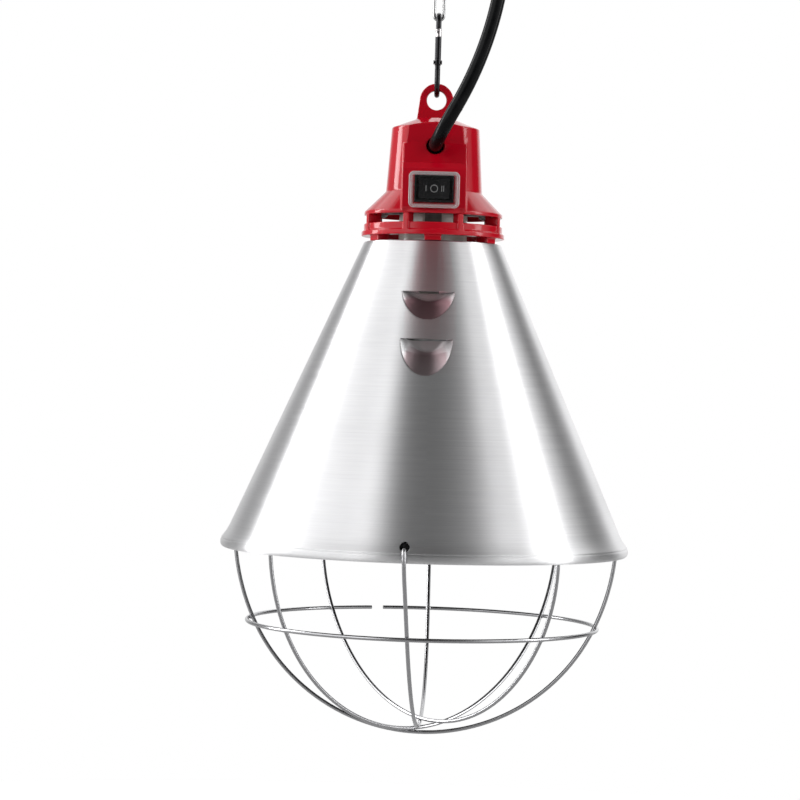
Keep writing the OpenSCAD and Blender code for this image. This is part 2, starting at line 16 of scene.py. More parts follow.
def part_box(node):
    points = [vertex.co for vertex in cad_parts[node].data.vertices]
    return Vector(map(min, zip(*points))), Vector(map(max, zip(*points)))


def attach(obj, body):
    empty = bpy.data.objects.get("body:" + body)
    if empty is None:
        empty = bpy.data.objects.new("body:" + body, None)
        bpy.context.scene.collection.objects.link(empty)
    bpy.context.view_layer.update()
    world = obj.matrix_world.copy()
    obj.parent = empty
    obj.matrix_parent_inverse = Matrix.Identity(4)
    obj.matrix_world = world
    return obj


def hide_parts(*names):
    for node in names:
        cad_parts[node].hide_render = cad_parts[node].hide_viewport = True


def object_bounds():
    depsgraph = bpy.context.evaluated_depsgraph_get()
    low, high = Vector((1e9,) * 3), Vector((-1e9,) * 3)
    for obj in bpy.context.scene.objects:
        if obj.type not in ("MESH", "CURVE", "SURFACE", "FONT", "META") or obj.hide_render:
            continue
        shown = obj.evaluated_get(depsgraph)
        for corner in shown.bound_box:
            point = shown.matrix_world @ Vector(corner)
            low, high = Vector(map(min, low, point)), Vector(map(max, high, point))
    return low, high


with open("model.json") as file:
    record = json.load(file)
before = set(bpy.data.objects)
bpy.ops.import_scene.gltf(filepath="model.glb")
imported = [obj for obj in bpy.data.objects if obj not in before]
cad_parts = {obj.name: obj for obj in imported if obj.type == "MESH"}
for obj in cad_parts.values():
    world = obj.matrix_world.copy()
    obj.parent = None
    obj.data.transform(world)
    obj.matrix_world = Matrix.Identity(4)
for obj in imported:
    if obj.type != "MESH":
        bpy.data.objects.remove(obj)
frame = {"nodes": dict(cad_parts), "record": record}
cad_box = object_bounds()

MM = 0.001
RIM_BELOW = 4.5  # the rolled edge hangs this far below the rim plane
RIM_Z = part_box("shade")[0].z + RIM_BELOW * MM

# The shade's outline
RIM_R = 105.0
CONE_R = 103.3
CONE_SLOPE = 0.4425
SHADE_TOP = 153.8
NECK_R = 24.0
SHEET = 0.8
FLARE_Z = 7.5
HOLE_Z = 3.44
HOLE_R = 2.5
HOLE_REACH = 101.7  # from the axis to a hook hole, along the front hoop's plane
FINE_TURN = 0.36  # degrees between columns where the louvres and the hook holes are

# The guard's hoops from the lowest up: turn of the plane in degrees, and its distance from the axis
HOOPS = [(84.5, 0.0), (312.0, -2.5), (-3.3, -1.8), (37.6, 6.2)]
FRONT_TURN = -3.3
FRONT_SHIFT = -3.35  # sideways from the axis at the height of the holes
LEG_R = 88.4
TIP_R = 97.4
WELD_STEP = 1.96  # height between the hoops where they cross

NOSE_Z = 261.5  # height of the snap hook's nose


def point(x, y, z):
    """A place in metres from millimetres above the rim plane."""
    return Vector((x * MM, y * MM, RIM_Z + z * MM))


def around(turn, r, z):
    """A place at a turn in degrees from the front, at a radius and a height in millimetres."""
    a = math.radians(turn)
    return point(r * math.sin(a), -r * math.cos(a), z)


def sideways(turn):
    """The level direction across the radius at a turn in degrees."""
    a = math.radians(turn)
    return Vector((math.cos(a), math.sin(a), 0))


def hoop_point(turn, shift, reach, z):
    """A place on a hoop's plane: reach along it, at a sideways shift from the axis."""
    return around(turn, reach, z) + sideways(turn) * (shift * MM)


# ---------------------------------------------------------------- materials


class Nodes:
    """A node tree under construction, with short ways to add nodes."""

    def __init__(self, tree):
        self.tree = tree

    def put(self, socket, value):
        """Sets or links one input."""
        if isinstance(value, bpy.types.NodeSocket):
            self.tree.links.new(value, socket)
        elif isinstance(value, tuple) and len(value) == 3 and socket.type == "RGBA":
            socket.default_value = (*value, 1.0)
        else:
            socket.default_value = value

    def node(self, kind, inputs=(), **props):
        made = self.tree.nodes.new(kind)
        for key, value in props.items():
            setattr(made, key, value)
        for key, value in dict(inputs).items():
            self.put(made.inputs[key], value)
        return made

    def math(self, operation, a, b=0.0):
        return self.node("ShaderNodeMath", {0: a, 1: b}, operation=operation).outputs[0]

    def split(self, vector):
        """The X, Y and Z of a vector."""
        return self.node("ShaderNodeSeparateXYZ", {0: vector}).outputs

    def ramp(self, value, low, high, out_low=0.0, out_high=1.0, **props):
        """A value carried from one range to another and held at its ends."""
        inputs = {"Value": value, "From Min": low, "From Max": high, "To Min": out_low, "To Max": out_high}
        return self.node("ShaderNodeMapRange", inputs, **props).outputs["Result"]

    def mix(self, share, a, b):
        """Colour a where the share is 0, b where it is 1."""
        made = self.node("ShaderNodeMix", data_type="RGBA")
        self.put(made.inputs[0], share)
        self.put(made.inputs[6], a)
        self.put(made.inputs[7], b)
        return made.outputs[2]


class Shader(Nodes):
    """A material under construction, around one Principled BSDF."""

    def __init__(self, name, **values):
        self.material = bpy.data.materials.new(name)
        self.material.use_nodes = True
        super().__init__(self.material.node_tree)
        self.bsdf = self.tree.nodes["Principled BSDF"]
        for key, value in values.items():
            self.set(key, value)

    def set(self, key, value):
        """Sets or links one input of the Principled BSDF; underscores in the name stand for spaces."""
        self.put(self.bsdf.inputs[key.replace("_", " ")], value)

    def coords(self):
        return self.node("ShaderNodeTexCoord").outputs["Object"]

    def noise(self, scale, detail=3.0, roughness=0.5, vector=None):
        """Noise between 0 and 1. The scale counts cells per metre."""
        inputs = {"Scale": scale, "Detail": detail, "Roughness": roughness, "Vector": vector or self.coords()}
        return self.node("ShaderNodeTexNoise", inputs).outputs["Fac"]

    def bump(self, height, depth_mm, strength=1.0):
        inputs = {"Height": height, "Distance": depth_mm * MM, "Strength": strength}
        return self.node("ShaderNodeBump", inputs).outputs["Normal"]

    def edges(self):
        """1 on sharp convex edges and 0 elsewhere."""
        pointed = self.node("ShaderNodeNewGeometry").outputs["Pointiness"]
        return self.ramp(pointed, 0.51, 0.56)


def turned_coords(shader, around_scale, up_scale):
    """Coordinates that run round the shade's axis and up it, for marks left by turning."""
    parts = shader.split(shader.coords())
    angle = shader.math("ARCTAN2", parts[0], parts[1])
    ring = shader.math("MULTIPLY", angle, around_scale)
    up = shader.math("MULTIPLY", parts[2], up_scale)
    return shader.node("ShaderNodeCombineXYZ", {0: ring, 2: up}).outputs[0]


def painted_head_reflection(shader, bottom, half_angle):
    """Share of the head's painted reflection: 1 high on the cone's front, 0 at the bottom and the sides."""
    top = 155
    fade = 0.2  # width of the ragged edge, in radians
    parts = shader.split(shader.coords())
    angle = shader.math("ABSOLUTE", shader.math("ARCTAN2", parts[0], shader.math("MULTIPLY", parts[1], -1.0)))
    height = shader.ramp(parts[2], RIM_Z + bottom * MM, RIM_Z + top * MM)
    ragged = shader.math("MULTIPLY", shader.noise(1.0, 3.0, 0.6, turned_coords(shader, 9.0, 30.0)), fade)
    front = shader.ramp(shader.math("ADD", angle, ragged), half_angle, half_angle + fade, 1.0, 0.0)
    return shader.math("MULTIPLY", height, front)


def spun_aluminium():
    """Aluminium sheet with fine lines all the way round, which smear reflections up and down the cone.

    The head's red reflection is painted on, high on the front and on the floors of the front louvres.
    """
    dull, bright = (0.80, 0.80, 0.81), (0.93, 0.93, 0.935)
    # colour of the shade painted into creases and pockets
    crease_shade_colour = (0.2, 0.2, 0.205)
    # colours of the red head's reflection, painted on the cone and on the louvre floors
    cone_reflection_colour = (0.85, 0.3, 0.34)
    louvre_reflection_colour = (0.3, 0.1, 0.13)
    s = Shader("spun_aluminium", Metallic=1.0, Anisotropic=1.0)
    fine = s.noise(1.0, 2.0, 0.6, turned_coords(s, 1.6, 2300.0))
    coarse = s.noise(1.0, 3.0, 0.6, turned_coords(s, 2.0, 420.0))
    cloud = s.noise(26.0, 4.0, 0.6)
    scuff = s.ramp(s.noise(1.0, 2.0, 0.7, turned_coords(s, 7.0, 1300.0)), 0.68, 0.74)
    streak = s.math("ADD", s.math("MULTIPLY", fine, 0.6), s.math("MULTIPLY", coarse, 0.4))
    # ambient occlusion picks out the creases and pockets that get painted shade
    hollow = s.node("ShaderNodeAmbientOcclusion", {"Distance": 7.0 * MM}, samples=8).outputs["AO"]
    lined = s.mix(s.ramp(streak, 0.3, 0.7), dull, bright)
    # painted reflection of the red head, high on the front of the cone
    lined = s.mix(s.math("MULTIPLY", painted_head_reflection(s, 85, 0.16), 0.75), lined, cone_reflection_colour)
    slope = s.split(s.node("ShaderNodeNewGeometry").outputs["True Normal"])[2]
    # the same painted reflection on the upward floors of the front louvres
    floor_reflection_share = s.math("MULTIPLY", painted_head_reflection(s, 20, 0.5), s.ramp(slope, 0.5, 0.62))
    lined = s.mix(floor_reflection_share, lined, louvre_reflection_colour)
    # painted shade: the colour darkens towards the shade colour in creases and pockets
    s.set("Base_Color", s.mix(s.ramp(hollow, 0.2, 0.7), crease_shade_colour, lined))
    rough = s.math("ADD", s.ramp(streak, 0.3, 0.7, 0.37, 0.45), s.ramp(cloud, 0.35, 0.7, 0.0, 0.04))
    s.set("Roughness", s.math("ADD", rough, s.math("MULTIPLY", scuff, 0.1)))
    s.set("Tangent", s.node("ShaderNodeTangent", direction_type="RADIAL", axis="Z").outputs[0])
    s.set("Anisotropic_Rotation", 0.25)
    s.set("Normal", s.bump(s.math("ADD", streak, s.math("MULTIPLY", scuff, 0.5)), 0.012))
    return s.material


def red_plastic(name, colour, roughness):
    """Glossy moulded plastic with a faint ripple, and sharp edges painted a little lighter."""
    s = Shader(name, Coat_Weight=0.25, Coat_Roughness=0.02, IOR=1.5, Specular_IOR_Level=0.22)
    ripple = s.noise(260.0, 2.0)
    dust = s.ramp(s.noise(900.0, 4.0, 0.7), 0.55, 0.8)
    shade = s.mix(s.ramp(s.noise(40.0, 3.0), 0.3, 0.7), colour, tuple(0.86 * c for c in colour))
    # sharp convex edges are painted a little lighter
    edge_lightened = s.mix(s.math("MULTIPLY", s.edges(), 0.35), shade, tuple(min(1.0, 1.25 * c + 0.03) for c in colour))
    s.set("Base_Color", edge_lightened)
    s.set("Roughness", s.math("ADD", s.math("MULTIPLY", dust, 0.07), roughness))
    s.set("Subsurface_Weight", 0.06)
    s.set("Subsurface_Radius", (0.004, 0.001, 0.001))
    s.set("Normal", s.bump(ripple, 0.02, 0.6))
    return s.material


def plated_wire(name, colour, roughness):
    """Bright plated wire with faint drawing lines and small dull spots."""
    s = Shader(name, Metallic=1.0)
    spots = s.ramp(s.noise(420.0, 4.0, 0.7), 0.58, 0.75)
    lines = s.noise(2600.0, 2.0)
    s.set("Base_Color", s.mix(s.math("MULTIPLY", spots, 0.6), colour, tuple(0.62 * c for c in colour)))
    s.set("Roughness", s.ramp(spots, 0.0, 1.0, roughness, roughness + 0.22))
    s.set("Normal", s.bump(lines, 0.01, 0.5))
    return s.material


def dark_nickel():
    """Dark polished plating on the snap hook, with a bright band all round at the height of its nose."""
    s = Shader("dark_nickel", Metallic=1.0)
    height = s.split(s.coords())[2]
    off = s.math("ABSOLUTE", s.math("SUBTRACT", height, RIM_Z + NOSE_Z * MM))
    band = s.ramp(off, 1.6 * MM, 2.2 * MM, 1.0, 0.0)
    # bright patches painted in a band at the height of the nose
    band_patches = s.math("MULTIPLY", band, s.ramp(s.noise(600.0, 3.0), 0.3, 0.5))
    s.set("Base_Color", s.mix(band_patches, (0.04, 0.04, 0.042), (0.8, 0.76, 0.76)))
    s.set("Roughness", s.ramp(s.noise(420.0, 4.0, 0.7), 0.3, 0.7, 0.16, 0.3))
    s.set("Normal", s.bump(s.noise(2600.0), 0.01, 0.5))
    return s.material


def rubber():
    """Black cable rubber with a slight sheen and a fine pebbled skin."""
    s = Shader("cable_rubber", Roughness=0.3, Specular_IOR_Level=0.1)
    skin = s.noise(1500.0, 3.0)
    chalk = s.ramp(s.noise(120.0, 4.0, 0.6), 0.45, 0.8)
    s.set("Base_Color", s.mix(chalk, (0.004, 0.004, 0.0045), (0.01, 0.01, 0.011)))
    s.set("Roughness", s.ramp(chalk, 0.0, 1.0, 0.22, 0.3))
    s.set("Normal", s.bump(skin, 0.02, 0.5))
    return s.material


def porcelain():
    """Off-white glazed porcelain with soft speckles."""
    s = Shader("porcelain", Coat_Weight=0.6, Coat_Roughness=0.06, Roughness=0.3)
    speck = s.ramp(s.noise(700.0, 3.0, 0.7), 0.62, 0.72)
    body = s.mix(s.noise(60.0, 3.0), (0.62, 0.59, 0.54), (0.7, 0.67, 0.62))
    s.set("Base_Color", s.mix(s.math("MULTIPLY", speck, 0.3), body, (0.4, 0.36, 0.3)))
    s.set("Normal", s.bump(s.noise(180.0, 2.0), 0.03, 0.5))
    return s.material


def plain_plastic(name, colour, roughness, specular=0.4):
    """Small moulded or extruded plastic parts."""
    s = Shader(name, Specular_IOR_Level=specular)
    grain = s.noise(1100.0, 3.0)
    s.set("Base_Color", s.mix(grain, colour, tuple(0.8 * c + 0.004 for c in colour)))
    s.set("Roughness", s.ramp(grain, 0.3, 0.7, roughness - 0.05, roughness + 0.06))
    s.set("Normal", s.bump(grain, 0.015, 0.5))
    return s.material


def earth_stripe():
    """Green insulation with patches of yellow."""
    s = Shader("earth_insulation", Roughness=0.4)
    stripe = s.ramp(s.noise(420.0, 0.0), 0.49, 0.51)
    s.set("Base_Color", s.mix(stripe, (0.05, 0.3, 0.04), (0.7, 0.62, 0.03)))
    s.set("Normal", s.bump(s.noise(1400.0), 0.01, 0.5))
    return s.material


def plain_metal(name, colour, roughness):
    """Plated steel or brass fittings with light tarnish."""
    s = Shader(name, Metallic=1.0)
    tarnish = s.ramp(s.noise(300.0, 4.0, 0.6), 0.4, 0.75)
    s.set("Base_Color", s.mix(s.math("MULTIPLY", tarnish, 0.5), colour, tuple(0.6 * c for c in colour)))
    s.set("Roughness", s.ramp(tarnish, 0.0, 1.0, roughness, roughness + 0.18))
    s.set("Normal", s.bump(s.noise(1600.0), 0.01, 0.5))
    return s.material


def clear_plastic():
    """Thin clear plastic: nearly unseen face on, painted highlights along its rounded edges and border."""
    s = Shader("clear_plastic", IOR=1.45)
    # painted highlights: opaque pale grey where the surface is seen edge on and on sharp edges
    steep = s.node("ShaderNodeLayerWeight", {"Blend": 0.5}).outputs["Facing"]
    edge = s.math("MAXIMUM", s.ramp(steep, 0.25, 0.7), s.edges())
    haze = s.noise(300.0, 3.0)
    low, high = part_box("switch_boot")
    middle = (low + high) / 2
    parts = s.split(s.coords())

    def from_middle(axis):
        """Distance from the boot's middle along an axis, as a share of half its size."""
        off = s.math("ABSOLUTE", s.math("SUBTRACT", parts[axis], middle[axis]))
        return s.math("DIVIDE", off, (high[axis] - low[axis]) / 2)

    # a painted highlight in a band along the border of the boot
    rim = s.math("MAXIMUM", s.ramp(from_middle(0), 0.8, 0.93), s.ramp(from_middle(2), 0.76, 0.9))
    s.set("Base_Color", (0.86, 0.87, 0.88))
    s.set("Roughness", s.ramp(haze, 0.3, 0.7, 0.05, 0.12))
    s.set("Coat_Weight", 1.0)
    s.set("Coat_Roughness", 0.03)
    s.set("Alpha", s.math("MAXIMUM", s.ramp(edge, 0.0, 1.0, 0.004, 0.9), s.math("MULTIPLY", rim, 0.24)))
    s.set("Normal", s.bump(haze, 0.03, 0.4))
    return s.material


def switch_mark():
    """Pale grey printing on the rocker."""
    s = Shader("switch_mark", Roughness=0.5)
    s.set("Base_Color", s.mix(s.noise(2500.0), (0.26, 0.26, 0.26), (0.34, 0.34, 0.34)))
    return s.material


ZINC = plated_wire("zinc_wire", (0.5, 0.5, 0.5), 0.22)
HOOK = dark_nickel()
GUARD = plated_wire("guard_chrome", (0.42, 0.42, 0.43), 0.18)
STEEL = plain_metal("plated_steel", (0.5, 0.5, 0.5), 0.32)
DARK_STEEL = plain_metal("dark_steel", (0.2, 0.19, 0.18), 0.4)
BRASS = plain_metal("brass", (0.72, 0.52, 0.24), 0.28)
COPPER = plain_metal("copper", (0.78, 0.4, 0.24), 0.3)
RED_HEAD = red_plastic("red_head", (0.52, 0.002, 0.014), 0.12)
RED_RING = red_plastic("red_ring", (0.55, 0.002, 0.014), 0.16)
BLACK = plain_plastic("black_plastic", (0.006, 0.006, 0.007), 0.25, 0.2)
DARK = plain_plastic("dark_plastic", (0.03, 0.03, 0.03), 0.45)
ALUMINIUM = spun_aluminium()
# the inside of the shade: aluminium painted darker as shade, so the slits and holes read dark
INSIDE_PAINTED_SHADE = plain_metal("inside_aluminium_painted_shade", (0.3, 0.3, 0.3), 0.42)
CUT_EDGE = plain_metal("cut_edge", (0.5, 0.5, 0.5), 0.5)
RUBBER = rubber()
PORCELAIN = porcelain()
CLEAR = clear_plastic()
MARK = switch_mark()

CAD_LOOKS = {
    "chain_link_top": ZINC,
    "chain_link_lower": ZINC,
    "hook_frame": HOOK,
    "hook_gate": HOOK,
    "gate_pin": HOOK,
    "gate_spring": STEEL,
    "switch_terminals": BRASS,
    "rectifier_diode": DARK,
    "cable_sheath": RUBBER,
    "core_brown": plain_plastic("brown_insulation", (0.16, 0.06, 0.025), 0.4),
    "core_blue": plain_plastic("blue_insulation", (0.02, 0.09, 0.4), 0.4),
    "core_earth": earth_stripe(),
    "switched_lead": DARK,
    "cord_grip_screws": STEEL,
    "holder_bracket": DARK_STEEL,
    "bracket_screws": STEEL,
    "holder_screws": STEEL,
    "centre_contact": BRASS,
    "live_terminal": BRASS,
    "neutral_terminal": BRASS,
    "terminal_screws": STEEL,
    "earth_tag": BRASS,
    "earth_screw": STEEL,
    "shade_screws": STEEL,
    "shade_washers": STEEL,
    "guard_hoop_side": GUARD,
    "guard_hoop_left": GUARD,
    "guard_hoop_front": GUARD,
    "guard_hoop_right": GUARD,
    "guard_ring": GUARD,
}


def give(obj, material):
    """Gives an object one material."""
    obj.data.materials.clear()
    obj.data.materials.append(material)


# ---------------------------------------------------------------- meshes


def body_of(node):
    for body, members in frame["record"]["behaviour"]["bodies"].items():
        if node in members:
            return body
    raise ValueError(node)


def ride_with(obj, node):
    """Puts the object on a CAD node's body."""
    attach(obj, body_of(node))


def stand_for(obj, node, material):
    """The object takes the place of a CAD node: same body, and the node is hidden."""
    give(obj, material)
    ride_with(obj, node)
    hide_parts(node)


def add_detail(obj, node, material):
    """The object is a small detail that belongs to a CAD node and moves with it."""
    give(obj, material)
    ride_with(obj, node)


def new_object(name, data):
    obj = bpy.data.objects.new(name, data)
    bpy.context.scene.collection.objects.link(obj)
    return obj


def evaluated_mesh(obj):
    """The object's mesh as it is with its modifiers or its curve."""
    bpy.context.view_layer.update()
    return bpy.data.meshes.new_from_object(obj.evaluated_get(bpy.context.evaluated_depsgraph_get()))


def apply_modifiers(obj):
    mesh = evaluated_mesh(obj)
    obj.modifiers.clear()
    obj.data = mesh


def smooth_shaded(obj, sharp_angle=40):
    mesh = obj.data
    mesh.polygons.foreach_set("use_smooth", [True] * len(mesh.polygons))
    mesh.set_sharp_from_angle(angle=math.radians(sharp_angle))
    return obj


def mesh_from(name, points, faces):
    mesh = bpy.data.meshes.new(name)
    mesh.from_pydata([tuple(p) for p in points], [], faces)
    mesh.update()
    return new_object(name, mesh)


def object_from(work, name):
    """A new object from a finished bmesh."""
    mesh = bpy.data.meshes.new(name)
    work.to_mesh(mesh)
    work.free()
    return new_object(name, mesh)


def joined_copy(node):
    """A CAD node's mesh as a bmesh with its corners joined."""
    same_place = 2e-6
    work = bmesh.new()
    work.from_mesh(frame["nodes"][node].data)
    bmesh.ops.remove_doubles(work, verts=work.verts, dist=same_place)
    return work


def softened(node, name, voxel, rounds):
    """A copy of a CAD node with softly rounded edges: a fine remesh, then smoothing."""
    obj = object_from(joined_copy(node), name)
    remesh = obj.modifiers.new("remesh", "REMESH")
    remesh.mode = "VOXEL"
    remesh.voxel_size = voxel * MM
    smooth = obj.modifiers.new("smooth", "SMOOTH")
    smooth.factor = 0.5
    smooth.iterations = rounds
    apply_modifiers(obj)
    return smooth_shaded(obj, 180)


def bevelled(node, name, width):
    """A copy of a boxy CAD node with small round edges."""
    work = joined_copy(node)
    bmesh.ops.dissolve_limit(work, angle_limit=math.radians(1), verts=work.verts, edges=work.edges)
    obj = object_from(work, name)
    bevel = obj.modifiers.new("bevel", "BEVEL")
    bevel.width = width * MM
    bevel.segments = 3
    bevel.limit_method = "ANGLE"
    bevel.angle_limit = math.radians(28)
    apply_modifiers(obj)
    return smooth_shaded(obj, 32)


def grid_faces(rows, columns, skip=()):
    """Quads of a grid of points stored row by row, each row closed, leaving out the cells in skip."""
    faces = []
    for i in range(rows - 1):
        for j in range(columns):
            if (i, j) in skip:
                continue
            k = (j + 1) % columns
            faces.append((i * columns + j, (i + 1) * columns + j, (i + 1) * columns + k, i * columns + k))
    return faces


# ---------------------------------------------------------------- shade

FLOOR_SLOPE = 0.56  # inwards per millimetre up a louvre's floor
SLIT = 0.8  # how far the pocket's edge drops below the cut
LIFT = 0.36  # how far that edge comes back up per millimetre of depth


class Louvre:
    """A pocket pressed inwards below a straight cut: a steep back wall over a sloping floor."""

    def __init__(self, turn, mouth, drop, side, half_width, depth, open_share):
        self.turn = turn
        self.mouth = mouth
        self.drop = drop
        self.side = side
        self.half_width = half_width
        self.depth = depth
        self.open_share = open_share

    def across(self, turn, r):
        """Distance sideways from the middle, as a share of the half width."""
        off = (turn - self.turn + 180.0) % 360.0 - 180.0
        return abs(math.radians(off)) * r / self.half_width

    def dent(self, turn, r, z):
        """How far the sheet is pushed in and down at a place below the cut."""
        wall_lean = 0.3
        soft = 0.5  # rounds the line where the wall meets the floor
        fade_down = 5.0
        down = self.mouth - z
        share = self.across(turn, r)
        if down < 0.0 or share >= 1.0:
            return 0.0, 0.0
        crown = math.sqrt(1.0 - share**3.5)
        floor_end = self.side * (1.0 - share**14) + (self.drop - self.side) * (1.0 - share**2.2) ** 0.8
        wall = (self.depth + wall_lean * down) * crown
        floor = FLOOR_SLOPE * (floor_end - down)
        if floor <= 0.0:
            return 0.0, 0.0
        blend = max(0.0, 1.0 - abs(wall - floor) / soft)
        depth = max(0.0, min(wall, floor) - 0.25 * soft * blend * blend)
        fade = max(0.0, 1.0 - down / fade_down)
        return depth, (SLIT * crown - LIFT * depth) * fade


# Each shape: height of the cut, drop of the floor in the middle and at the sides, half width, depth,
# and the share of the width where the cut is open. One pair is at the front and one at the back.
LOUVRES = [
    Louvre(turn, *shape)
    for turn in (-1.7, 178.3)
    for shape in ((127.6, 14.2, 2.4, 13.3, 5.8, 0.4), (103.8, 18.4, 5.0, 13.1, 7.4, 0.78))
]


def arc_points(cx, cz, r, start, end, count):
    """Points on an arc in the outline's plane, from one angle to another."""
    angles = [math.radians(start + (end - start) * i / count) for i in range(count + 1)]
    return [(cx + r * math.cos(a), cz + r * math.sin(a)) for a in angles]


def shade_outline():
    """The sheet's outer side: from the neck down the cone, out at the flare and round the bead."""
    lean = math.degrees(math.atan(CONE_SLOPE))
    corner = 1.2
    bead = 2.1
    flare_r = 28.7
    flare_end = 40.5
    flare_steps = 16
    corner_r = (CONE_R * math.cos(math.radians(lean)) - corner) / math.cos(math.radians(lean))
    corner_r -= (SHADE_TOP - corner) * CONE_SLOPE
    outline = [(r, SHADE_TOP) for r in np.linspace(NECK_R, corner_r - 0.2, 8)]
    outline += arc_points(corner_r, SHADE_TOP - corner, corner, 90, lean, 6)
    heights = list(np.arange(SHADE_TOP - 3.5, 130.0, -2.2))
    heights += list(np.arange(129.0, 83.0, -0.4))
    heights += list(np.arange(82.0, FLARE_Z + 1.5, -2.4)) + [FLARE_Z]
    for louvre in LOUVRES[:2]:
        heights = [h for h in heights if abs(h - louvre.mouth) > 0.15] + [louvre.mouth + 0.01, louvre.mouth]
    outline += [(CONE_R - CONE_SLOPE * h, h) for h in sorted(heights, reverse=True)]
    flare_centre = CONE_R - CONE_SLOPE * FLARE_Z + flare_r * math.cos(math.radians(lean))
    for i in range(1, flare_steps + 1):
        turn = math.radians(lean + (flare_end - lean) * i / flare_steps)
        r = flare_centre - flare_r * math.cos(turn)
        z = FLARE_Z - flare_r * (math.sin(turn) - math.sin(math.radians(lean)))
        outline.append((r, z))
    outline.append((outline[-1][0] + 0.02, outline[-1][1] - 0.3))
    outline += arc_points(RIM_R - bead, -1.6, bead, 46, 0, 8)
    outline += arc_points(RIM_R - bead, -2.4, bead, 0, -180, 18)
    outline += [(RIM_R - 4.2, -1.9), (RIM_R - 4.1, -1.3)]
    return outline


def shade_turns():
    """Turns of the columns, closer together where the louvres and the hook holes are."""
    coarse = 1.5
    half = 21.0
    turns = []
    for middle in (0.0, 180.0):
        turns += list(np.arange(middle - half, middle + half, FINE_TURN))
        turns += list(np.arange(middle + half, middle + 180.0 - half, coarse))
    return sorted({round(t % 360.0, 4) for t in turns})


def make_shade():
    """The shade's sheet: a grid of its outer side with louvres and hook holes, made thick inwards."""
    outline = shade_outline()
    turns = shade_turns()
    lean = math.atan(CONE_SLOPE)
    points = []
    mouths = {}
    for i, (r, z) in enumerate(outline):
        for louvre in LOUVRES:
            if abs(z - louvre.mouth) < 1e-6:
                mouths.setdefault(i, []).append(louvre)
        for turn in turns:
            push, sag = max(louvre.dent(turn, r, z) for louvre in LOUVRES)
            points.append(around(turn, r - push * math.cos(lean), z - push * math.sin(lean) - sag))
    skip = set()
    for i, louvres in mouths.items():
        for louvre in louvres:
            for j, turn in enumerate(turns):
                if louvre.across(turn + FINE_TURN / 2, outline[i][0]) < louvre.open_share:
                    skip.add((i - 1, j))
    faces = cut_hook_holes(points, grid_faces(len(outline), len(turns), skip))
    obj = mesh_from("shade_spun", points, faces)
    face_outwards(obj)
    solid = obj.modifiers.new("sheet", "SOLIDIFY")
    solid.thickness = SHEET * MM
    solid.offset = -1.0
    solid.material_offset = 1
    solid.material_offset_rim = 2
    # outer side, the inside with its painted shade, and the cut edges
    for material in (ALUMINIUM, INSIDE_PAINTED_SHADE, CUT_EDGE):
        obj.data.materials.append(material)
    apply_modifiers(obj)
    smooth_shaded(obj, 38)
    ride_with(obj, "shade")
    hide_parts("shade")


def cut_hook_holes(points, faces):
    """The faces outside the two hook holes; the points on the holes' edges are moved onto a circle."""
    hole_r = HOLE_R * MM
    reaches = (HOLE_REACH, -HOLE_REACH)
    hole_places = [hoop_point(FRONT_TURN, FRONT_SHIFT, reach, HOLE_Z) for reach in reaches]
    kept = []
    hole_edge = set()
    for face in faces:
        middle = sum((points[k] for k in face), Vector()) / 4
        near = min(hole_places, key=lambda p: (p - middle).length)
        if (near - middle).length < hole_r * 1.35 and math.hypot(*from_hole(middle, near)) < hole_r:
            hole_edge.update(face)
        else:
            kept.append(face)
    used = {k for face in kept for k in face}
    for k in hole_edge & used:
        near = min(hole_places, key=lambda p: (p - points[k]).length)
        points[k] = pushed_to_circle(points[k], near)
    return kept


def from_hole(place, centre):
    """How far across and up a place is from a hook hole's centre, seen along the radius."""
    return (place - centre).dot(sideways(FRONT_TURN)), (place - centre).z


def pushed_to_circle(place, centre):
    """Moves a place onto the edge of a hook hole, seen along the radius."""
    across, up = from_hole(place, centre)
    scale = HOLE_R * MM / max(math.hypot(across, up), 1e-9)
    return place + sideways(FRONT_TURN) * (across * (scale - 1)) + Vector((0, 0, up * (scale - 1)))


def face_outwards(obj):
    """Deletes loose points and turns all the faces outwards from the axis."""
    work = bmesh.new()
    work.from_mesh(obj.data)
    loose = [v for v in work.verts if not v.link_faces]
    bmesh.ops.delete(work, geom=loose, context="VERTS")
    bmesh.ops.recalc_face_normals(work, faces=work.faces)
    work.to_mesh(obj.data)
    work.free()
    sample = obj.data.polygons[len(obj.data.polygons) // 3]
    if sample.normal.dot(sample.center - point(0, 0, 60)) < 0:
        obj.data.flip_normals()


# ---------------------------------------------------------------- mouldings, socket and switch


def make_head():
    stand_for(softened("head_cover", "head_moulding", 0.4, 5), "head_cover", RED_HEAD)
    stand_for(softened("vent_ring", "vent_ring_moulding", 0.35, 4), "vent_ring", RED_RING)


def make_lampholder():
    stand_for(softened("lampholder_body", "porcelain_holder", 0.4, 4), "lampholder_body", PORCELAIN)
    stand_for(bevelled("cord_grip", "cord_grip_bar", 0.4), "cord_grip", DARK)


def make_screw_shell():
    """The rolled thread of the lamp socket, up to the height of the tab on the CAD shell."""
    low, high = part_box("screw_shell")
    crest_r = 13.85
    wall = 0.35
    pitch = 3.6
    depth = 0.32
    margin = 0.1
    rows = 120
    columns = 96
    plain_rows = 12  # the thread fades out over these at each end
    base = (low.z - RIM_Z) / MM
    span = (high.z - low.z) / MM - margin
    points = []
    for i in range(rows + 1):
        z = base + margin + (span - margin) * i / rows
        fade = min(1.0, i / plain_rows, (rows - i) / plain_rows)
        for j in range(columns):
            wave = math.cos(2 * math.pi * (z / pitch - j / columns))
            points.append(around(360 * j / columns, crest_r - depth * fade * (1 + wave) / 2, z))
    obj = mesh_from("thread_shell", points, grid_faces(rows + 1, columns))
    solid = obj.modifiers.new("wall", "SOLIDIFY")
    solid.thickness = wall * MM
    solid.offset = 0.0
    apply_modifiers(obj)
    smooth_shaded(obj, 60)
    stand_for(obj, "screw_shell", BRASS)


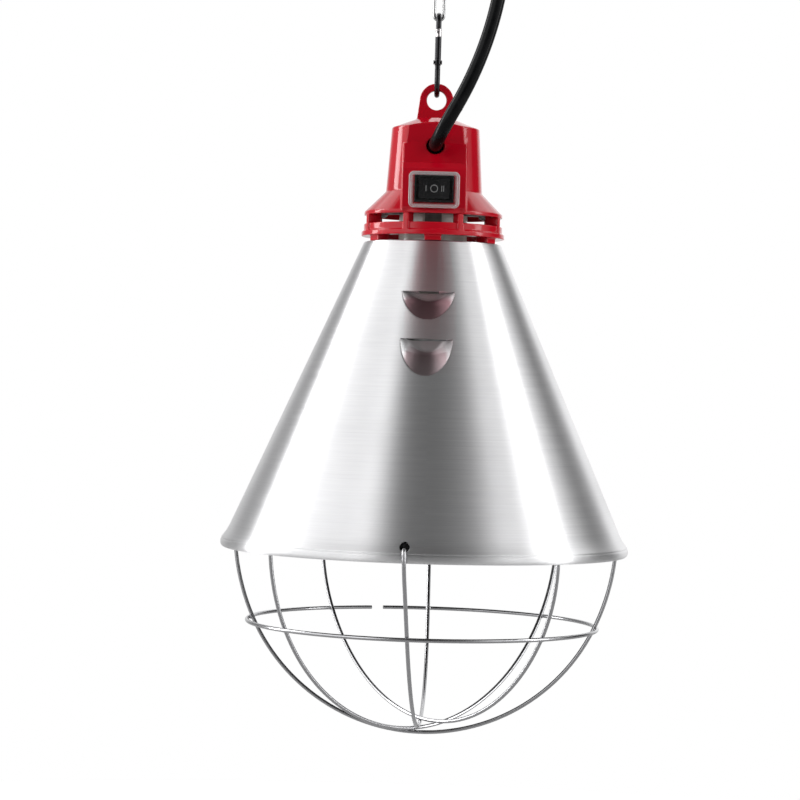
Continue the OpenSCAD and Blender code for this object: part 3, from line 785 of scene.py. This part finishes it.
def make_switch():
    boot = softened("switch_boot", "clear_boot", 0.22, 5)
    round_corners(boot, "switch_boot", 2.6)
    stand_for(boot, "switch_boot", CLEAR)
    stand_for(bevelled("switch_body", "switch_housing", 0.35), "switch_body", BLACK)
    stand_for(bevelled("switch_rocker", "rocker_key", 0.35), "switch_rocker", BLACK)


def round_corners(obj, node, corner):
    """Draws the four corners of a box in, seen from the front, to a round of a given radius."""
    low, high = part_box(node)
    centre = (low + high) / 2
    for v in obj.data.vertices:
        off = v.co - centre
        inside = [abs(off[i]) - (high[i] - low[i]) / 2 + corner * MM for i in (0, 2)]
        if min(inside) <= 0.0:
            continue
        share = max(inside) / math.hypot(*inside) - 1.0
        for i, depth in zip((0, 2), inside):
            v.co[i] += depth * share * math.copysign(1.0, off[i])


def flat_shape(name, loops, depth):
    """A thin solid from closed loops of (x, z) points in millimetres, facing -Y, at y = 0 to depth."""
    curve = bpy.data.curves.new(name, "CURVE")
    curve.dimensions = "2D"
    curve.fill_mode = "BOTH"
    curve.extrude = depth * MM / 2
    for loop in loops:
        spline = curve.splines.new("POLY")
        spline.points.add(len(loop) - 1)
        for place, (x, z) in zip(spline.points, loop):
            place.co = (x * MM, z * MM, 0, 1)
        spline.use_cyclic_u = True
    obj = new_object(name, curve)
    mesh = evaluated_mesh(obj)
    bpy.data.objects.remove(obj)
    mesh.transform(Matrix.Rotation(math.radians(90), 4, "X"))
    return new_object(name, mesh)


def ring_loop(r):
    count = 40
    angles = [2 * math.pi * i / count for i in range(count)]
    return [(r * math.cos(a), r * math.sin(a)) for a in angles]


def bar_loop(x, width, height):
    half = width / 2
    return [(x - half, -height / 2), (x + half, -height / 2), (x + half, height / 2), (x - half, height / 2)]


def make_rocker_marks():
    """Position marks I, O and II across the rocker, which follow its hollow face."""
    face_y = -36.44  # where the face is deepest
    rise = 0.09  # how far the face comes forward per millimetre sideways
    bar = (0.36, 3.0)
    low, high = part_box("switch_rocker")
    centre = (low + high) / 2
    middle_z = (centre.z - RIM_Z) / MM
    marks = [
        ("mark_one", [bar_loop(0, *bar)], -4.1),
        ("mark_off", [ring_loop(1.95), ring_loop(1.55)], 0.0),
        ("mark_two", [bar_loop(-0.5, *bar), bar_loop(0.5, *bar)], 4.3),
    ]
    for name, loops, x in marks:
        obj = flat_shape(name, loops, 0.12)
        tilt = math.radians(5.0) * (0 if x == 0 else math.copysign(1, x))
        obj.data.transform(Matrix.Rotation(-tilt, 4, "Z"))
        obj.data.transform(Matrix.Translation(point(x, face_y - rise * abs(x), middle_z)))
        add_detail(obj, "switch_rocker", MARK)


# ---------------------------------------------------------------- guard welds and cable end


def make_welds():
    """Small flattened nuggets where the guard's wires are welded."""
    wire_r = 1.0
    weld_r = LEG_R + 0.9
    ring_low, ring_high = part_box("guard_ring")
    ring_z = ((ring_low.z + ring_high.z) / 2 - RIM_Z) / MM
    work = bmesh.new()
    for turn, shift in HOOPS:
        for reach in (weld_r, -weld_r):
            nugget(work, hoop_point(turn, shift, reach, ring_z), turn, (0.75, 1.5, 1.25))
    lowest = (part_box("guard_hoop_side")[0].z - RIM_Z) / MM + wire_r
    for level, (one, other) in enumerate(zip(HOOPS, HOOPS[1:])):
        nugget(work, crossing(one, other, lowest + WELD_STEP * (level + 0.5)), one[0], (1.3, 1.3, 0.6))
    add_detail(smooth_shaded(object_from(work, "weld_nuggets"), 180), "guard_ring", GUARD)


def crossing(one, other, z):
    """Where two hoops cross near the bottom, seen from above."""
    rows = [(math.cos(math.radians(turn)), math.sin(math.radians(turn))) for turn, _ in (one, other)]
    x, y = np.linalg.solve(np.array(rows), np.array([one[1], other[1]]))
    return point(x, y, z + (x * x + y * y) / (2 * LEG_R))


def nugget(work, place, turn, size):
    """One nugget: a ball pressed to size, with a lumpy skin."""
    made = bmesh.ops.create_icosphere(work, subdivisions=3, radius=1.0)["verts"]
    spin = Matrix.Rotation(math.radians(turn - 90), 4, "Z")
    for v in made:
        lump = 1 + 0.06 * math.sin(5 * v.co.x + 3 * v.co.y + turn) + 0.05 * math.sin(7 * v.co.z - turn)
        local = Vector((v.co.x * size[0], v.co.y * size[1], v.co.z * size[2])) * (lump * MM)
        v.co = place + spin @ local


def make_hole_shade_discs():
    """Dark flattened ends of the front hoop, just inside the hook holes: painted shade in the holes."""
    work = bmesh.new()
    for reach in (TIP_R, -TIP_R):
        # each end is broader than the wire, so that it fills the view through its hole with painted shade
        nugget(work, hoop_point(FRONT_TURN, FRONT_SHIFT, reach, HOLE_Z - 0.3), FRONT_TURN, (0.7, 2.9, 2.9))
    add_detail(smooth_shaded(object_from(work, "hole_shade_discs"), 180), "guard_hoop_front", HOOK)


def make_copper_tips():
    """Bared strands at the cut end of the cable's cores: six round one in each."""
    strand = {"cap_ends": True, "segments": 12, "radius1": 0.25 * MM, "radius2": 0.2 * MM, "depth": 4.4 * MM}
    spread = 0.52
    lift = 1.6
    for node in ("core_brown", "core_blue", "core_earth"):
        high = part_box(node)[1]
        top = [v.co for v in frame["nodes"][node].data.vertices if v.co.z > high.z - 0.4 * MM]
        centre = sum(top, Vector()) / len(top)
        turns = [2 * math.pi * i / 6 for i in range(6)]
        offsets = [Vector((spread * math.cos(a), spread * math.sin(a), 0)) * MM for a in turns] + [Vector()]
        work = bmesh.new()
        for off in offsets:
            place = Matrix.Translation(centre + off + Vector((0, 0, lift * MM)))
            bmesh.ops.create_cone(work, matrix=place, **strand)
        add_detail(smooth_shaded(object_from(work, node + "_strands")), node, COPPER)


# ---------------------------------------------------------------- studio


# Brightness of the studio's walls at each turn from the camera's side, in degrees; the first two are the ends
STUDIO_STOPS = [
    (-180, 1.0),
    (180, 1.25),
    (-160, 0.8),
    (-142, 0.3),
    (-128, 0.34),
    (-114, 0.55),
    (-102, 1.6),
    (-50, 1.8),
    (-38, 2.3),
    (-31, 1.5),
    (-25, 0.7),
    (-18, 0.24),
    (-8, 0.12),
    (8, 0.1),
    (22, 0.24),
    (33, 0.44),
    (41, 0.95),
    (50, 1.6),
    (62, 1.45),
    (72, 0.95),
    (96, 0.85),
    (103, 0.5),
    (111, 0.05),
    (134, 0.05),
    (148, 1.1),
]
WINDOW_LIGHT = (1.5, 1.5, 1.5)
CEILING_LIGHT = (0.1, 0.1, 0.1)
GROUND_LIGHT = (0.5, 0.5, 0.5)


def studio_world():
    """A white studio: bright walls left and right, a dark gap at the camera, a high window behind the lamp.

    The camera itself sees plain white.
    """
    world = bpy.data.worlds.new("studio")
    world.use_nodes = True
    bpy.context.scene.world = world
    world.node_tree.nodes.clear()
    n = Nodes(world.node_tree)
    x, y, z = n.split(n.node("ShaderNodeTexCoord").outputs["Generated"])
    turn = n.math("ARCTAN2", x, n.math("MULTIPLY", y, -1.0))
    walls = n.node("ShaderNodeValToRGB", {0: n.ramp(turn, -math.pi, math.pi)})
    for i, (degrees, level) in enumerate(STUDIO_STOPS):
        spot = (degrees + 180.0) / 360.0
        stop = walls.color_ramp.elements[i] if i < 2 else walls.color_ramp.elements.new(spot)
        stop.position = spot
        stop.color = (level, level, level * 1.005, 1.0)
    below = n.ramp(z, 0.05, -0.25, interpolation_type="SMOOTHSTEP")
    above = n.ramp(z, 0.74, 0.82, interpolation_type="SMOOTHSTEP")
    window = n.math("MULTIPLY", n.ramp(y, 0.1, 0.25), n.ramp(z, 0.48, 0.54))
    lit = n.mix(window, walls.outputs[0], WINDOW_LIGHT)
    lit = n.mix(above, lit, CEILING_LIGHT)
    lit = n.mix(below, lit, GROUND_LIGHT)
    light = n.node("ShaderNodeBackground", {0: lit})
    white = n.node("ShaderNodeBackground", {0: (1.0, 1.0, 1.0)})
    seen = n.node("ShaderNodeLightPath").outputs["Is Camera Ray"]
    both = n.node("ShaderNodeMixShader", {0: seen, 1: light.outputs[0], 2: white.outputs[0]})
    n.node("ShaderNodeOutputWorld", {0: both.outputs[0]})


def make_lights():
    """Two tall soft boxes that put crisp glints on the gloss parts."""
    centre = point(0, 0, 120)
    for name, x, y, power in (("soft_box_left", -1.55, 0.45, 16.0), ("soft_box_right", 1.55, -0.27, 10.0)):
        data = bpy.data.lights.new(name, "AREA")
        data.shape = "RECTANGLE"
        data.size = 0.4
        data.size_y = 1.6
        data.energy = power
        lamp = new_object(name, data)
        lamp.location = centre + Vector((x, y, 0.45))
        lamp.rotation_euler = (centre - lamp.location).to_track_quat("-Z", "Y").to_euler()


def make_floor():
    """A round pale floor, well below the hanging lamp."""
    rings = 12
    columns = 96
    radius = 1.6
    hub = 0.02  # share of the radius that one round face covers
    drop = 0.28
    level = cad_box[0].z - drop
    points = []
    for i in range(rings + 1):
        r = radius * (hub + (1 - hub) * i / rings)
        for j in range(columns):
            a = 2 * math.pi * j / columns
            points.append((r * math.cos(a), r * math.sin(a), level))
    floor = mesh_from("studio_floor", points, grid_faces(rings + 1, columns) + [tuple(range(columns))])
    s = Shader("floor_paint", Roughness=0.7)
    s.set("Base_Color", s.mix(s.noise(30.0, 3.0), (0.48, 0.48, 0.48), (0.52, 0.52, 0.52)))
    s.set("Emission_Color", (1.0, 1.0, 1.0))
    seen = s.node("ShaderNodeLightPath").outputs["Is Camera Ray"]
    s.set("Emission_Strength", s.ramp(seen, 0.0, 1.0, 0.0, 0.9))
    give(floor, s.material)


def make_camera():
    """A long lens at the height of the shade's middle, aimed almost level and rolled a little."""
    distance = 1300.4
    elevation = math.radians(3.507)
    yaw = -0.0112
    pitch = 0.056
    roll = 0.0292
    ahead = Vector((0, math.cos(elevation), -math.sin(elevation)))
    right = Vector((1, 0, 0))
    up = right.cross(ahead)
    aim = (ahead + math.tan(yaw) * right + math.tan(pitch) * up).normalized()
    side = aim.cross(up).normalized()
    top = side.cross(aim)
    rolled_side = math.cos(roll) * side + math.sin(roll) * top
    rolled_top = math.cos(roll) * top - math.sin(roll) * side
    data = bpy.data.cameras.new("camera")
    data.lens = 113.1
    data.sensor_width = 36.0
    camera = new_object("camera", data)
    spot = point(0, 0, 0) - ahead * distance * MM
    axes = Matrix((rolled_side, rolled_top, -aim)).transposed().to_4x4()
    camera.matrix_world = Matrix.Translation(spot) @ axes
    bpy.context.scene.camera = camera


def main():
    for node, material in CAD_LOOKS.items():
        give(frame["nodes"][node], material)
    make_shade()
    make_head()
    make_lampholder()
    make_screw_shell()
    make_switch()
    make_rocker_marks()
    make_welds()
    make_hole_shade_discs()
    make_copper_tips()
    studio_world()
    make_lights()
    make_floor()
    make_camera()
    bpy.context.scene.view_settings.view_transform = "Standard"


main()
